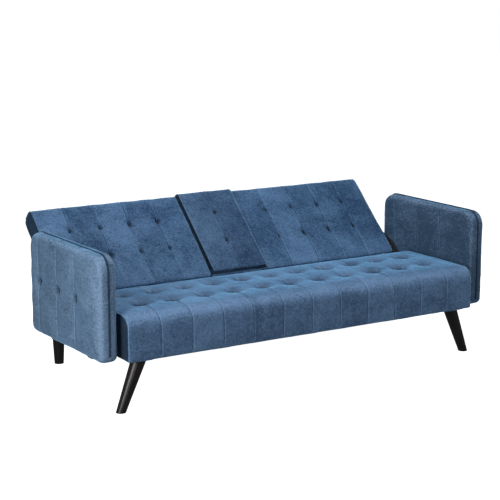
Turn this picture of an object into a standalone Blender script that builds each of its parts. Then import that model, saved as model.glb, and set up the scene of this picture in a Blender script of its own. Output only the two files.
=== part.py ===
"""A three-position futon sofa bed with a fold-down console.

Seat, arms and back are wooden frames under foam and tufted velvet. The back turns on a steel hinge at each end,
from a sofa to a lounger to a bed. The console between the two back cushions folds forward over the seat and
carries two cup holders. Metres, +Z up, +X to the sitter's left, the sitter facing -Y. The origin is on the
floor, in the middle of the footprint at rest, which is the lounging position.
"""

import math

import bmesh
import bpy
from mathutils import Vector

for item in list(bpy.data.objects):
    bpy.data.objects.remove(item)

# ---- Driving dimensions ------------------------------------------------------------------------------
STRIP_WIDTH = 0.140            # one sewn strip of velvet
SEAT_STRIPS = 12
CONSOLE_STRIPS = 2             # the rest of the back is shared by the two back cushions
SEAT_DEPTH = 0.575
SEAT_THICKNESS = 0.190         # upholstered seat, from its bottom edge to its top
SEAT_FOAM = 0.085              # foam and springs' travel above the seat frame
SEAT_FRONT_RADIUS = 0.050
SEAT_REAR_RADIUS = 0.028
BACK_LENGTH = 0.412            # along the back, from its bottom end to its top end
BACK_THICKNESS = 0.100
BACK_FOAM = 0.045
BACK_TOP_RADIUS = 0.030
BACK_BOTTOM_RADIUS = 0.018
END_ROUNDING = 0.009           # soft edge around each end of a cushion
COVER = 0.013                  # padding and velvet over the side of a frame

CONSOLE_PROUD = 0.018          # how far the console stands out of the back cushions
CONSOLE_BACK_ROOM = 0.017      # behind the console, for the cups' rims and the swing of its lower edge
CONSOLE_FOAM = 0.024
CONSOLE_SIDE_GAP = 0.003
CONSOLE_PIVOT_HEIGHT = 0.050   # of the console's pivots above the back's bottom end, along the back
CONSOLE_LID = 0.009            # board that holds the cup holders
CUP_RADIUS = 0.039             # inside
CUP_FLOOR_ROOM = 0.014         # between a cup's floor and the console's foam
CUP_WALL = 0.002
CUP_LIP = 0.006                # width of the rim that rests on the lid
CUP_RISE = 0.115               # of the cups' centres above the console's pivots

BACK_REST_ANGLE = 43.3         # degrees above the flat bed: the lounging position
CONSOLE_PIVOT_RADIUS = 0.004

HINGE_DROP = 0.010             # of the back's axis under the seat's top
HINGE_SETBACK = 0.004          # of the back's axis behind the seat
FACE_RISE = 0.006              # of the back's face over its axis, with the back flat
BACK_END_GAP = 0.006           # from the axis to the back's bottom end
HINGE_PLATE = 0.004
HINGE_PLATE_RADIUS = 0.020
HINGE_STANDOFF = 0.003         # from a cushion's end to the first hinge plate
HINGE_REACH = 0.130            # from the axis to the far end of a hinge plate's arm
HINGE_PIN_RADIUS = 0.005
HINGE_HEAD = 0.003

ARM_GAP = 0.018                # between the seat's end and the arm
ARM_THICKNESS = 0.084
ARM_LENGTH = 0.640
ARM_HEIGHT = 0.418
ARM_SETBACK = 0.036            # of the arm behind the seat's front
ARM_TOP_RADIUS = 0.062
ARM_BOTTOM_RADIUS = 0.030
ARM_ROUNDING = 0.024
ARM_BOARD = 0.018
ARM_PADDING = 0.045            # over the arm board's edges

LEG_HEIGHT = 0.200
LEG_TOP_RADIUS = 0.031
LEG_FOOT_RADIUS = 0.0200
LEG_SPLAY = 22.0               # degrees, front legs only, outwards
FRONT_LEG_END = 0.072          # from the seat's end to the top of a front leg, and so on
FRONT_LEG_FRONT = 0.056
REAR_LEG_END = 0.090
REAR_LEG_BEHIND = 0.245        # from the seat's rear to the middle of a rear leg
LEG_PLATE = 0.003
LEG_PLATE_SIDE = 0.078

RAIL = 0.022                   # thickness of the wooden rails
SEAT_RAIL_HEIGHT = 0.088
SUPPORT_WIDTH = 0.040          # steel tubes from the seat's frame to the rear legs
SUPPORT_HEIGHT = 0.030
SUPPORT_WALL = 0.0015
BACK_RAIL_DEPTH = 0.040
SPRINGS = 4
SPRING_WIRE = 0.0018           # radius
SPRING_PITCH = 0.040
SPRING_HALF_WIDTH = 0.024
DUST_COVER = 0.0015
REAR_COVER = 0.003
BAY_BOARD = 0.006
BRACKET = 0.004
BRACKET_WIDTH = 0.040
BRACKET_LAP = 0.050            # of a bracket under the seat
BRACKET_FRONT = 0.170          # from the seat's front to the first bracket
BRACKET_REAR = 0.075           # from the last bracket to the seat's rear
BOLT_RADIUS = 0.004
BOLT_LENGTH = 0.030            # in the arm board
BOLT_HEAD = 0.005

GAP = 0.0003                   # between two pieces that touch
ROOM = 0.001                   # around a tube in its notch
HOLE_ROOM = 0.0004             # between a pin and its hole

# ---- Places that follow from them --------------------------------------------------------------------
SEAT_END = STRIP_WIDTH * SEAT_STRIPS / 2
BAY_END = STRIP_WIDTH * CONSOLE_STRIPS / 2
SEAT_BOTTOM = LEG_HEIGHT + LEG_PLATE + 2 * GAP
SEAT_TOP = SEAT_BOTTOM + SEAT_THICKNESS
AXIS = (SEAT_DEPTH + HINGE_SETBACK, SEAT_TOP - HINGE_DROP)
FRAME_BOTTOM = SEAT_BOTTOM + DUST_COVER + 2 * GAP
BACK_FACE = FACE_RISE
BACK_REAR = BACK_FACE - BACK_THICKNESS
BACK_BOTTOM = BACK_END_GAP
BACK_TOP = BACK_BOTTOM + BACK_LENGTH
CONSOLE_FACE = BACK_FACE + CONSOLE_PROUD
CONSOLE_REAR = BACK_REAR + BAY_BOARD + CONSOLE_BACK_ROOM
CONSOLE_INNER = BAY_END - CONSOLE_SIDE_GAP - COVER     # half the width inside its cover
CUP_OUTSIDE = CUP_RADIUS + CUP_WALL
CUP_MIDDLE = CONSOLE_INNER - GAP - RAIL - ROOM - CUP_OUTSIDE
CUP_DEPTH = CONSOLE_FACE - CONSOLE_FOAM - CONSOLE_REAR - CUP_WALL - CUP_FLOOR_ROOM
ARM_INNER = SEAT_END + ARM_GAP
ARM_MIDDLE = ARM_INNER + ARM_THICKNESS / 2
ARM_BOTTOM = SEAT_BOTTOM
REAR_LEG_FRONT = SEAT_DEPTH + REAR_LEG_BEHIND
BRACKETS = (("front", BRACKET_FRONT), ("rear", SEAT_DEPTH - BRACKET_REAR))
SIDES = (("left", 1), ("right", -1))     # as the sitter has them


# ---- Finishes ----------------------------------------------------------------------------------------
def finish(name, colour, roughness, metallic=0.0):
    made = bpy.data.materials.new(name)
    made.use_nodes = True
    made.diffuse_color = (*colour, 1)
    surface = made.node_tree.nodes["Principled BSDF"]
    surface.inputs["Base Color"].default_value = (*colour, 1)
    surface.inputs["Roughness"].default_value = roughness
    surface.inputs["Metallic"].default_value = metallic
    return made


SEAT_VELVET = finish("seat_velvet", (0.075, 0.165, 0.330), 0.80)
BACK_VELVET = finish("back_velvet", (0.060, 0.135, 0.275), 0.80)
ARM_VELVET = finish("arm_velvet", (0.085, 0.170, 0.310), 0.80)
CONSOLE_VELVET = finish("console_velvet", (0.065, 0.145, 0.290), 0.80)
BLACK_WOOD = finish("black_wood", (0.012, 0.010, 0.009), 0.35)
PINE = finish("pine", (0.62, 0.44, 0.26), 0.65)
PLYWOOD = finish("plywood", (0.55, 0.40, 0.25), 0.70)
BLACK_STEEL = finish("black_steel", (0.020, 0.020, 0.022), 0.40, 0.6)
ZINC_STEEL = finish("zinc_steel", (0.55, 0.56, 0.58), 0.35, 1.0)
SPRING_STEEL = finish("spring_steel", (0.30, 0.31, 0.33), 0.40, 1.0)
BLACK_PLASTIC = finish("black_plastic", (0.018, 0.018, 0.019), 0.30)
LINING = finish("lining", (0.015, 0.015, 0.016), 0.95)


# ---- Shapes ------------------------------------------------------------------------------------------
def axis_empty(name, parent, place, degrees=0.0):
    """A joint's axis, along X. The pieces that turn with it are its children."""
    made = bpy.data.objects.new(name, None)
    bpy.context.scene.collection.objects.link(made)
    made.parent = parent
    made.location = place
    made.rotation_euler.x = math.radians(degrees)
    return made


def add(name, mesh, material, parent):
    made = bpy.data.objects.new(name, mesh)
    bpy.context.scene.collection.objects.link(made)
    made.parent = parent
    made.data.materials.append(material)
    return made


def mesh_of(name, points, faces):
    shape = bmesh.new()
    corners = [shape.verts.new(point) for point in points]
    for face in faces:
        shape.faces.new([corners[index] for index in face])
    bmesh.ops.recalc_face_normals(shape, faces=shape.faces)
    mesh = bpy.data.meshes.new(name)
    shape.to_mesh(mesh)
    shape.free()
    return mesh


def soften(piece, width, segments):
    """Rounds the square edges of a piece."""
    bevel = piece.modifiers.new("rounding", "BEVEL")
    bevel.width = width
    bevel.segments = segments
    bevel.limit_method = "ANGLE"
    bevel.angle_limit = math.radians(50)
    piece.data.shade_smooth()
    piece.data.set_sharp_from_angle(angle=math.radians(35))


def prism(name, outline, low, high, material, parent, axis=0):
    """An outline in the other two axes, in their order, run along one axis from low to high."""
    def point(along, across):
        place = list(across)
        place.insert(axis, along)
        return place

    count = len(outline)
    points = [point(end, spot) for end in (low, high) for spot in outline]
    sides = [(i, (i + 1) % count, (i + 1) % count + count, i + count) for i in range(count)]
    caps = [tuple(range(count)), tuple(range(count, 2 * count))]
    return add(name, mesh_of(name, points, sides + caps), material, parent)


def block(name, low, high, material, parent):
    outline = [(low[1], low[2]), (high[1], low[2]), (high[1], high[2]), (low[1], high[2])]
    return prism(name, outline, low[0], high[0], material, parent)


def square_tube(name, low, high, axis, wall, material, parent):
    """A hollow box section, open at both ends, along one axis."""
    across = [i for i in range(3) if i != axis]
    rings = []
    for end in (low[axis], high[axis]):
        for inset in (0, wall):
            for first, second in ((0, 0), (1, 0), (1, 1), (0, 1)):
                point = [end] * 3
                for i, upper in zip(across, (first, second)):
                    point[i] = high[i] - inset if upper else low[i] + inset
                rings.append(point)
    faces = []
    for ring, beside in ((0, 8), (4, 12), (0, 4), (8, 12)):
        faces += [(ring + i, ring + (i + 1) % 4, beside + (i + 1) % 4, beside + i) for i in range(4)]
    return add(name, mesh_of(name, rings, faces), material, parent)


def rounded(corners, radii, steps):
    """The outline through the corners, with an arc of its radius at each."""
    outline = []
    for i, (corner, radius) in enumerate(zip(corners, radii)):
        corner = Vector(corner)
        before = (Vector(corners[i - 1]) - corner).normalized()
        after = (Vector(corners[(i + 1) % len(corners)]) - corner).normalized()
        if radius == 0:
            outline.append(tuple(corner))
            continue
        half = before.angle(after) / 2
        centre = corner + (before + after).normalized() * radius / math.sin(half)
        start = corner + before * radius / math.tan(half) - centre
        turn = math.pi - 2 * half
        if before.x * after.y - before.y * after.x > 0:
            turn = -turn
        for step in range(steps + 1):
            angle = turn * step / steps
            across = Vector((-start.y, start.x))
            outline.append(tuple(centre + start * math.cos(angle) + across * math.sin(angle)))
    return outline


def link(start, end, radius, steps=10):
    """The outline of a flat link with round ends."""
    start, end = Vector(start), Vector(end)
    heading = math.atan2(end.y - start.y, end.x - start.x)
    outline = []
    for centre, first in ((end, heading - math.pi / 2), (start, heading + math.pi / 2)):
        for step in range(steps + 1):
            angle = first + math.pi * step / steps
            outline.append((centre.x + radius * math.cos(angle), centre.y + radius * math.sin(angle)))
    return outline


def turned(name, profile, centre, material, parent, axis=2, steps=28):
    """A profile of (radius, height) turned about one axis through the centre, with a flat cap at each end."""
    points = []
    for radius, height in profile:
        for step in range(steps):
            angle = 2 * math.pi * (step + 0.5) / steps
            points.append([radius * math.cos(angle), radius * math.sin(angle), height])
    faces = []
    for ring in range(len(profile) - 1):
        for step in range(steps):
            here, beside = ring * steps + step, ring * steps + (step + 1) % steps
            faces.append((here, beside, beside + steps, here + steps))
    last = (len(profile) - 1) * steps
    faces += [tuple(range(steps)), tuple(range(last, last + steps))]
    if axis == 0:
        points = [[z, x, y] for x, y, z in points]
    piece = add(name, mesh_of(name, [[a + b for a, b in zip(point, centre)] for point in points], faces),
                material, parent)
    piece.data.shade_smooth()
    piece.data.set_sharp_from_angle(angle=math.radians(35))
    return piece


def cutter(piece):
    piece.hide_render = True
    piece.display_type = "WIRE"
    return piece


def cut(piece, *cutters):
    for tool in cutters:
        boolean = piece.modifiers.new("cut_" + tool.name, "BOOLEAN")
        boolean.operation = "DIFFERENCE"
        boolean.object = tool


def cylinder_cutter(name, radius, low, high, centre, parent, axis=2):
    return cutter(turned(name, [(radius, low), (radius, high)], centre, LINING, parent, axis, 24))


# ---- The sofa and its two axes -----------------------------------------------------------------------
sofa = axis_empty("sofa", None, (0, 0, 0))
back_axis = axis_empty("back_axis", sofa, (0, *AXIS), BACK_REST_ANGLE)
console_axis = axis_empty("console_axis", back_axis, (0, BACK_BOTTOM + CONSOLE_PIVOT_HEIGHT, 0))


# ---- Seat --------------------------------------------------------------------------------------------
def seat_upholstery():
    corners = [(0, SEAT_BOTTOM), (SEAT_DEPTH, SEAT_BOTTOM), (SEAT_DEPTH, SEAT_TOP), (0, SEAT_TOP)]
    outline = rounded(corners, (0, 0, SEAT_REAR_RADIUS, SEAT_FRONT_RADIUS), 6)
    piece = prism("seat_upholstery", outline, -SEAT_END, SEAT_END, SEAT_VELVET, sofa)
    soften(piece, END_ROUNDING, 3)
    inside = cutter(block("seat_pocket", (COVER - SEAT_END, COVER, SEAT_BOTTOM - COVER),
                          (SEAT_END - COVER, SEAT_DEPTH - COVER, SEAT_TOP - SEAT_FOAM), LINING, sofa))
    cut(piece, inside)
    return piece


def seat_frame():
    front, rear = COVER + GAP, SEAT_DEPTH - COVER - GAP
    end = SEAT_END - COVER - GAP
    low, high = FRAME_BOTTOM, FRAME_BOTTOM + SEAT_RAIL_HEIGHT
    block("seat_front_rail", (-end, front, low), (end, front + RAIL, high), PINE, sofa)
    rear_rail = block("seat_rear_rail", (-end, rear - RAIL, low), (end, rear, high), PINE, sofa)
    inner_front, inner_rear = front + RAIL + GAP, rear - RAIL - GAP
    for side, sign in SIDES:
        across = sorted((sign * end, sign * (end - RAIL)))
        block(f"seat_end_rail_{side}", (across[0], inner_front, low), (across[1], inner_rear, high), PINE, sofa)
    block("seat_centre_rail", (-RAIL / 2, inner_front, low), (RAIL / 2, inner_rear, high), PINE, sofa)
    return rear_rail, inner_front, high


def seat_spring(number, x, front, rear, height):
    """A sinuous spring: one wire in equal loops, lying from the front rail to the rear rail."""
    loops = round((rear - front) / SPRING_PITCH)
    bend = (rear - front) / loops / 2
    line = [(x, front)]
    for loop in range(loops):
        side = 1 if loop % 2 else -1
        middle = front + (2 * loop + 1) * bend
        for step in range(5):
            angle = math.pi * (step / 4 - 0.5)
            line.append((x + side * (SPRING_HALF_WIDTH - bend + bend * math.cos(angle)),
                         middle + bend * math.sin(angle) * 0.98))
    line.append((x, rear))
    curve = bpy.data.curves.new(f"seat_spring_{number}", "CURVE")
    curve.dimensions = "3D"
    spline = curve.splines.new("POLY")
    spline.points.add(len(line) - 1)
    for spot, (across, along) in zip(spline.points, line):
        spot.co = (across, along, height, 1)
    curve.bevel_depth = SPRING_WIRE
    curve.bevel_resolution = 1
    curve.use_fill_caps = True
    return add(f"seat_spring_{number}", curve, SPRING_STEEL, sofa)


def seat_springs(rail_top):
    """They hang from the front and rear rails, evenly to each side of the centre rail."""
    front, rear = COVER + RAIL / 2, SEAT_DEPTH - COVER - RAIL / 2
    for index in range(SPRINGS):
        x = SEAT_END * ((2 * index + 1) / SPRINGS - 1)
        seat_spring(index + 1, x, front, rear, rail_top + SPRING_WIRE + GAP)


def dust_cover():
    edge = COVER + GAP
    block("dust_cover", (edge - SEAT_END, edge, SEAT_BOTTOM + GAP),
          (SEAT_END - edge, SEAT_DEPTH - edge, SEAT_BOTTOM + GAP + DUST_COVER), LINING, sofa)


def rear_supports(seat, rear_rail, front):
    """Two steel tubes run from inside the seat to the rear legs, tied by a cross tube behind the legs."""
    low, high = FRAME_BOTTOM + GAP, FRAME_BOTTOM + SUPPORT_HEIGHT
    rear = REAR_LEG_FRONT + LEG_PLATE_SIDE / 2
    for side, sign in SIDES:
        x = sign * (SEAT_END - REAR_LEG_END)
        reach = SUPPORT_WIDTH / 2
        square_tube(f"rear_support_{side}", (x - reach, front + GAP, low), (x + reach, rear, high), 1,
                    SUPPORT_WALL, BLACK_STEEL, sofa)
        notch = cutter(block(f"support_notch_{side}", (x - reach - ROOM, SEAT_DEPTH - 2 * (COVER + RAIL), 0),
                             (x + reach + ROOM, rear, high + ROOM), LINING, sofa))
        cut(seat, notch)
        cut(rear_rail, notch)
    inner = SEAT_END - REAR_LEG_END - SUPPORT_WIDTH / 2 - GAP
    square_tube("rear_cross_tube", (-inner, rear - SUPPORT_HEIGHT, low), (inner, rear, high), 0,
                SUPPORT_WALL, BLACK_STEEL, sofa)


# ---- Legs --------------------------------------------------------------------------------------------
def leg(name, x, y, splay, top):
    """A turned and tapered leg, its foot cut level, under a square steel plate."""
    steps = 24
    shift = top * math.tan(math.radians(splay))
    points = []
    for radius, height, across in ((LEG_FOOT_RADIUS, 0, x + shift), (LEG_TOP_RADIUS, top, x)):
        for step in range(steps):
            angle = 2 * math.pi * step / steps
            points.append((across + radius * math.cos(angle), y + radius * math.sin(angle), height))
    faces = [(i, (i + 1) % steps, (i + 1) % steps + steps, i + steps) for i in range(steps)]
    faces += [tuple(range(steps)), tuple(range(steps, 2 * steps))]
    made = add(name, mesh_of(name, points, faces), BLACK_WOOD, sofa)
    made.data.shade_smooth()
    made.data.set_sharp_from_angle(angle=math.radians(35))


def legs():
    """The rear legs are longer by what the steel tubes over them stand inside the seat's bottom edge."""
    for side, sign in SIDES:
        for place, x, y, splay, bearing in (
            ("front", SEAT_END - FRONT_LEG_END, FRONT_LEG_FRONT, LEG_SPLAY, SEAT_BOTTOM),
            ("rear", SEAT_END - REAR_LEG_END, REAR_LEG_FRONT, 0.0, FRAME_BOTTOM + GAP),
        ):
            plate_top = bearing - GAP
            top = plate_top - LEG_PLATE
            half = LEG_PLATE_SIDE / 2
            leg(f"leg_{place}_{side}", sign * x, y, sign * splay, top - GAP)
            block(f"leg_plate_{place}_{side}", (sign * x - half, y - half, top),
                  (sign * x + half, y + half, plate_top), BLACK_STEEL, sofa)


# ---- Arms --------------------------------------------------------------------------------------------
def arm(side, sign):
    """A board in a padded velvet sleeve, held by two steel bars under the seat and a bolt up into the board."""
    front, rear = ARM_SETBACK, ARM_SETBACK + ARM_LENGTH
    top = ARM_BOTTOM + ARM_HEIGHT
    outline = rounded([(front, ARM_BOTTOM), (rear, ARM_BOTTOM), (rear, top), (front, top)],
                      (ARM_BOTTOM_RADIUS, ARM_BOTTOM_RADIUS, ARM_TOP_RADIUS, ARM_TOP_RADIUS), 6)
    across = sorted((sign * ARM_INNER, sign * (ARM_INNER + ARM_THICKNESS)))
    sleeve = prism(f"arm_upholstery_{side}", outline, *across, ARM_VELVET, sofa)
    soften(sleeve, ARM_ROUNDING, 4)
    middle = sign * ARM_MIDDLE
    half = ARM_BOARD / 2
    low = (middle - half, front + ARM_PADDING, ARM_BOTTOM)
    high = (middle + half, rear - ARM_PADDING, top - ARM_PADDING)
    slot = cutter(block(f"arm_slot_{side}", (low[0] - GAP, low[1] - GAP, 0),
                        (high[0] + GAP, high[1] + GAP, high[2] + GAP), LINING, sofa))
    cut(sleeve, slot)
    board = block(f"arm_board_{side}", low, high, PLYWOOD, sofa)
    bar_top = ARM_BOTTOM - GAP
    for place, y in BRACKETS:
        ends = sorted((sign * (SEAT_END - BRACKET_LAP), middle + sign * BRACKET_WIDTH / 2))
        bar = block(f"arm_bracket_{place}_{side}", (ends[0], y - BRACKET_WIDTH / 2, bar_top - BRACKET),
                    (ends[1], y + BRACKET_WIDTH / 2, bar_top), BLACK_STEEL, sofa)
        under = bar_top - BRACKET - GAP
        bolt = [(BOLT_RADIUS * 1.9, under - BOLT_HEAD), (BOLT_RADIUS * 1.9, under),
                (BOLT_RADIUS, under), (BOLT_RADIUS, ARM_BOTTOM + BOLT_LENGTH)]
        turned(f"arm_bolt_{place}_{side}", bolt, (middle, y, 0), ZINC_STEEL, sofa, steps=12)
        hole = cylinder_cutter(f"bolt_hole_{place}_{side}", BOLT_RADIUS + HOLE_ROOM, under - BOLT_HEAD,
                               ARM_BOTTOM + BOLT_LENGTH + HOLE_ROOM, (middle, y, 0), sofa)
        cut(bar, hole)
        cut(board, hole)


# ---- Back hinges -------------------------------------------------------------------------------------
def hinge(side, sign):
    """A plate on the seat's end and a plate on the back's end, with a headed pin through both."""
    inner = SEAT_END + HINGE_STANDOFF
    outer = inner + HINGE_PLATE + GAP
    seat_foot = (AXIS[0] - HINGE_REACH * 0.7, AXIS[1] - HINGE_REACH * 0.7)
    seat_ends = sorted((sign * inner, sign * (inner + HINGE_PLATE)))
    seat_plate = prism(f"hinge_seat_plate_{side}", link(seat_foot, AXIS, HINGE_PLATE_RADIUS), *seat_ends,
                       BLACK_STEEL, sofa)
    back_ends = sorted((sign * outer, sign * (outer + HINGE_PLATE)))
    back_foot = (HINGE_REACH, BACK_FACE - BACK_THICKNESS / 2)
    back_plate = prism(f"hinge_back_plate_{side}", link((0, 0), back_foot, HINGE_PLATE_RADIUS), *back_ends,
                       BLACK_STEEL, back_axis)
    head = outer + HINGE_PLATE + GAP
    profile = [(HINGE_PIN_RADIUS, inner), (HINGE_PIN_RADIUS, head),
               (HINGE_PIN_RADIUS * 1.7, head), (HINGE_PIN_RADIUS * 1.7, head + HINGE_HEAD)]
    profile = [(radius, sign * height) for radius, height in profile]
    turned(f"hinge_pin_{side}", profile, (0, *AXIS), ZINC_STEEL, sofa, axis=0, steps=24)
    ends = sorted((sign * SEAT_END, sign * (head + HINGE_HEAD)))
    radius = HINGE_PIN_RADIUS + HOLE_ROOM
    cut(seat_plate, cylinder_cutter(f"seat_plate_hole_{side}", radius, *ends, (0, *AXIS), sofa, 0))
    cut(back_plate, cylinder_cutter(f"back_plate_hole_{side}", radius, *ends, (0, 0, 0), back_axis, 0))


# ---- Back --------------------------------------------------------------------------------------------
def back_half(side, sign):
    """One back cushion. Its frame is set in from behind, and a stile stands at each of its ends."""
    corners = [(BACK_BOTTOM, BACK_REAR), (BACK_TOP, BACK_REAR), (BACK_TOP, BACK_FACE), (BACK_BOTTOM, BACK_FACE)]
    outline = rounded(corners, (0, BACK_TOP_RADIUS, BACK_TOP_RADIUS, BACK_BOTTOM_RADIUS), 5)
    across = sorted((sign * BAY_END, sign * SEAT_END))
    cushion = prism(f"back_upholstery_{side}", outline, *across, BACK_VELVET, back_axis)
    soften(cushion, END_ROUNDING, 3)
    inside = cutter(block(f"back_pocket_{side}",
                          (across[0] + COVER, BACK_BOTTOM + COVER, BACK_REAR - COVER),
                          (across[1] - COVER, BACK_TOP - BACK_TOP_RADIUS, BACK_FACE - BACK_FOAM),
                          LINING, back_axis))
    cut(cushion, inside)
    low, high = BACK_REAR, BACK_REAR + BACK_RAIL_DEPTH
    bottom, top = BACK_BOTTOM + COVER + GAP, BACK_TOP - BACK_TOP_RADIUS - GAP
    first, last = across[0] + COVER + GAP, across[1] - COVER - GAP
    block(f"back_bottom_rail_{side}", (first, bottom, low), (last, bottom + RAIL, high), PINE, back_axis)
    block(f"back_top_rail_{side}", (first, top - RAIL, low), (last, top, high), PINE, back_axis)
    stiles = {"inner": BAY_END + COVER + GAP, "outer": SEAT_END - COVER - GAP - RAIL}
    for place, start in stiles.items():
        ends = sorted((sign * start, sign * (start + RAIL)))
        block(f"back_{place}_stile_{side}", (ends[0], bottom + RAIL + GAP, low),
              (ends[1], top - RAIL - GAP, high), PINE, back_axis)
    return cushion


def console_bay():
    """A board closes the bay behind the console and ties the two halves of the back together."""
    edge = BAY_END - GAP
    block("console_bay_board", (-edge, BACK_BOTTOM, BACK_REAR),
          (edge, BACK_TOP - BACK_TOP_RADIUS, BACK_REAR + BAY_BOARD), PLYWOOD, back_axis)


def back_rear_cover():
    """One sheet of velvet over the rear of both halves and of the bay."""
    edge = SEAT_END - END_ROUNDING
    block("back_rear_cover", (-edge, BACK_BOTTOM + END_ROUNDING, BACK_REAR - GAP - REAR_COVER),
          (edge, BACK_TOP - BACK_TOP_RADIUS, BACK_REAR - GAP), BACK_VELVET, back_axis)


# ---- Console -----------------------------------------------------------------------------------------
def console():
    """Velvet over foam round two side rails and a lid, which faces the back until the console is folded."""
    pivot = BACK_BOTTOM + CONSOLE_PIVOT_HEIGHT
    bottom, top = BACK_BOTTOM - pivot, BACK_TOP - pivot
    end = BAY_END - CONSOLE_SIDE_GAP
    outline = rounded([(bottom, CONSOLE_REAR), (top, CONSOLE_REAR), (top, CONSOLE_FACE), (bottom, CONSOLE_FACE)],
                      (BACK_BOTTOM_RADIUS, 0, BACK_TOP_RADIUS, BACK_BOTTOM_RADIUS), 5)
    cover = prism("console_upholstery", outline, -end, end, CONSOLE_VELVET, console_axis)
    soften(cover, END_ROUNDING / 2, 3)
    first, last = bottom + COVER * 2, top - COVER
    inner = CONSOLE_INNER
    cut(cover, cutter(block("console_pocket", (-inner, first, CONSOLE_REAR - COVER),
                            (inner, last, CONSOLE_FACE - CONSOLE_FOAM), LINING, console_axis)))
    lid_low, lid_high = CONSOLE_REAR + 2 * GAP, CONSOLE_REAR + 2 * GAP + CONSOLE_LID
    lid = block("console_lid", (GAP - inner, first + GAP, lid_low), (inner - GAP, last - GAP, lid_high),
                PLYWOOD, console_axis)
    for side, sign in SIDES:
        ends = sorted((sign * (inner - GAP), sign * (inner - GAP - RAIL)))
        rail = block(f"console_rail_{side}", (ends[0], first + GAP, lid_high + GAP),
                     (ends[1], last - GAP, CONSOLE_FACE - CONSOLE_FOAM - GAP), PINE, console_axis)
        hole = cylinder_cutter(f"console_pivot_hole_{side}", CONSOLE_PIVOT_RADIUS + HOLE_ROOM,
                               *sorted((sign * (inner - RAIL - 2 * GAP), sign * (end + COVER))),
                               (0, 0, 0), console_axis, 0)
        cut(rail, hole)
        cut(cover, hole)
        cup_holder(side, sign * CUP_MIDDLE, lid, lid_low)


def console_pivot(side, sign, cushion):
    """A pin through the end of the back cushion, from the inner stile into the console's side rail."""
    pivot = (0, BACK_BOTTOM + CONSOLE_PIVOT_HEIGHT, 0)
    inner = BAY_END - CONSOLE_SIDE_GAP - COVER - RAIL
    outer = BAY_END + COVER
    turned(f"console_pivot_{side}", [(CONSOLE_PIVOT_RADIUS, sign * inner), (CONSOLE_PIVOT_RADIUS, sign * outer)],
           pivot, ZINC_STEEL, back_axis, axis=0, steps=16)
    ends = sorted((sign * (BAY_END - COVER), sign * (outer + GAP)))
    cut(cushion, cylinder_cutter(f"cushion_pivot_hole_{side}", CONSOLE_PIVOT_RADIUS + HOLE_ROOM, *ends, pivot,
                                 back_axis, 0))


def cup_holder(side, x, lid, lid_face):
    """A moulded cup with a rim on the lid's outer face. It opens away from the console's face."""
    outside = CUP_OUTSIDE
    rim = lid_face - GAP
    profile = [
        (CUP_RADIUS * 0.5, rim + CUP_DEPTH + CUP_WALL),
        (outside - CUP_WALL, rim + CUP_DEPTH + CUP_WALL),
        (outside, rim + CUP_DEPTH),
        (outside, rim),
        (outside + CUP_LIP, rim),
        (outside + CUP_LIP, rim - CUP_WALL),
        (CUP_RADIUS, rim - CUP_WALL),
        (CUP_RADIUS, rim + CUP_DEPTH - CUP_WALL),
        (CUP_RADIUS * 0.5, rim + CUP_DEPTH),
    ]
    turned(f"cup_holder_{side}", profile, (x, CUP_RISE, 0), BLACK_PLASTIC, console_axis)
    cut(lid, cylinder_cutter(f"cup_hole_{side}", outside + ROOM, lid_face - ROOM,
                             lid_face + CONSOLE_LID + ROOM, (x, CUP_RISE, 0), console_axis))


# ---- Assembly ----------------------------------------------------------------------------------------
seat = seat_upholstery()
seat_rear_rail, inside_front, seat_rail_top = seat_frame()
seat_springs(seat_rail_top)
dust_cover()
rear_supports(seat, seat_rear_rail, inside_front)
legs()
for name_of_side, direction in SIDES:
    arm(name_of_side, direction)
    hinge(name_of_side, direction)
    console_pivot(name_of_side, direction, back_half(name_of_side, direction))
console_bay()
back_rear_cover()
console()


def footprint():
    """The nearest and farthest Y of the shown pieces."""
    bpy.context.view_layer.update()
    graph = bpy.context.evaluated_depsgraph_get()
    nearest, farthest = math.inf, -math.inf
    for piece in bpy.data.objects:
        if piece.type not in ("MESH", "CURVE") or piece.hide_render:
            continue
        shown = piece.evaluated_get(graph)
        places = [(shown.matrix_world @ corner.co).y for corner in shown.to_mesh().vertices]
        nearest, farthest = min(nearest, *places), max(farthest, *places)
        shown.to_mesh_clear()
    return nearest, farthest


sofa.location.y = -sum(footprint()) / 2
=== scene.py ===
"""A three-position futon sofa bed with a fold-down console, in tufted blue velvet, built round its CAD frame.

Metres, +Z up, +X to the sitter's left, the sitter facing -Y. It rests in the lounging position.
"""
import math

import bpy
import numpy as np
from mathutils import Matrix, Vector
from mathutils.bvhtree import BVHTree


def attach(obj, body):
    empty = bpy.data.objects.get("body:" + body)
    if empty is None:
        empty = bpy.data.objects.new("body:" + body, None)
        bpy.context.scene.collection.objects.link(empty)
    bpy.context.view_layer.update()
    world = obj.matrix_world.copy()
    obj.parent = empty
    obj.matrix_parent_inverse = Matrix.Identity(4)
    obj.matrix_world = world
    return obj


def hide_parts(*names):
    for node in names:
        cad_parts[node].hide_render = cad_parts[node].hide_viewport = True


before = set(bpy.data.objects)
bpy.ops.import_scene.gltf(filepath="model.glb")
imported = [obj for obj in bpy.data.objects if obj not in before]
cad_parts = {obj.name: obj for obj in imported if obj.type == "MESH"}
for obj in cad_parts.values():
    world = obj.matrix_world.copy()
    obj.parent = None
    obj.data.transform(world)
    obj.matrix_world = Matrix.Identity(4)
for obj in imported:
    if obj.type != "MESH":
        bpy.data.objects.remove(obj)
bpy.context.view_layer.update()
scene = bpy.context.scene
SIDES = (("left", 1), ("right", -1))     # as the sitter has them


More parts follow.
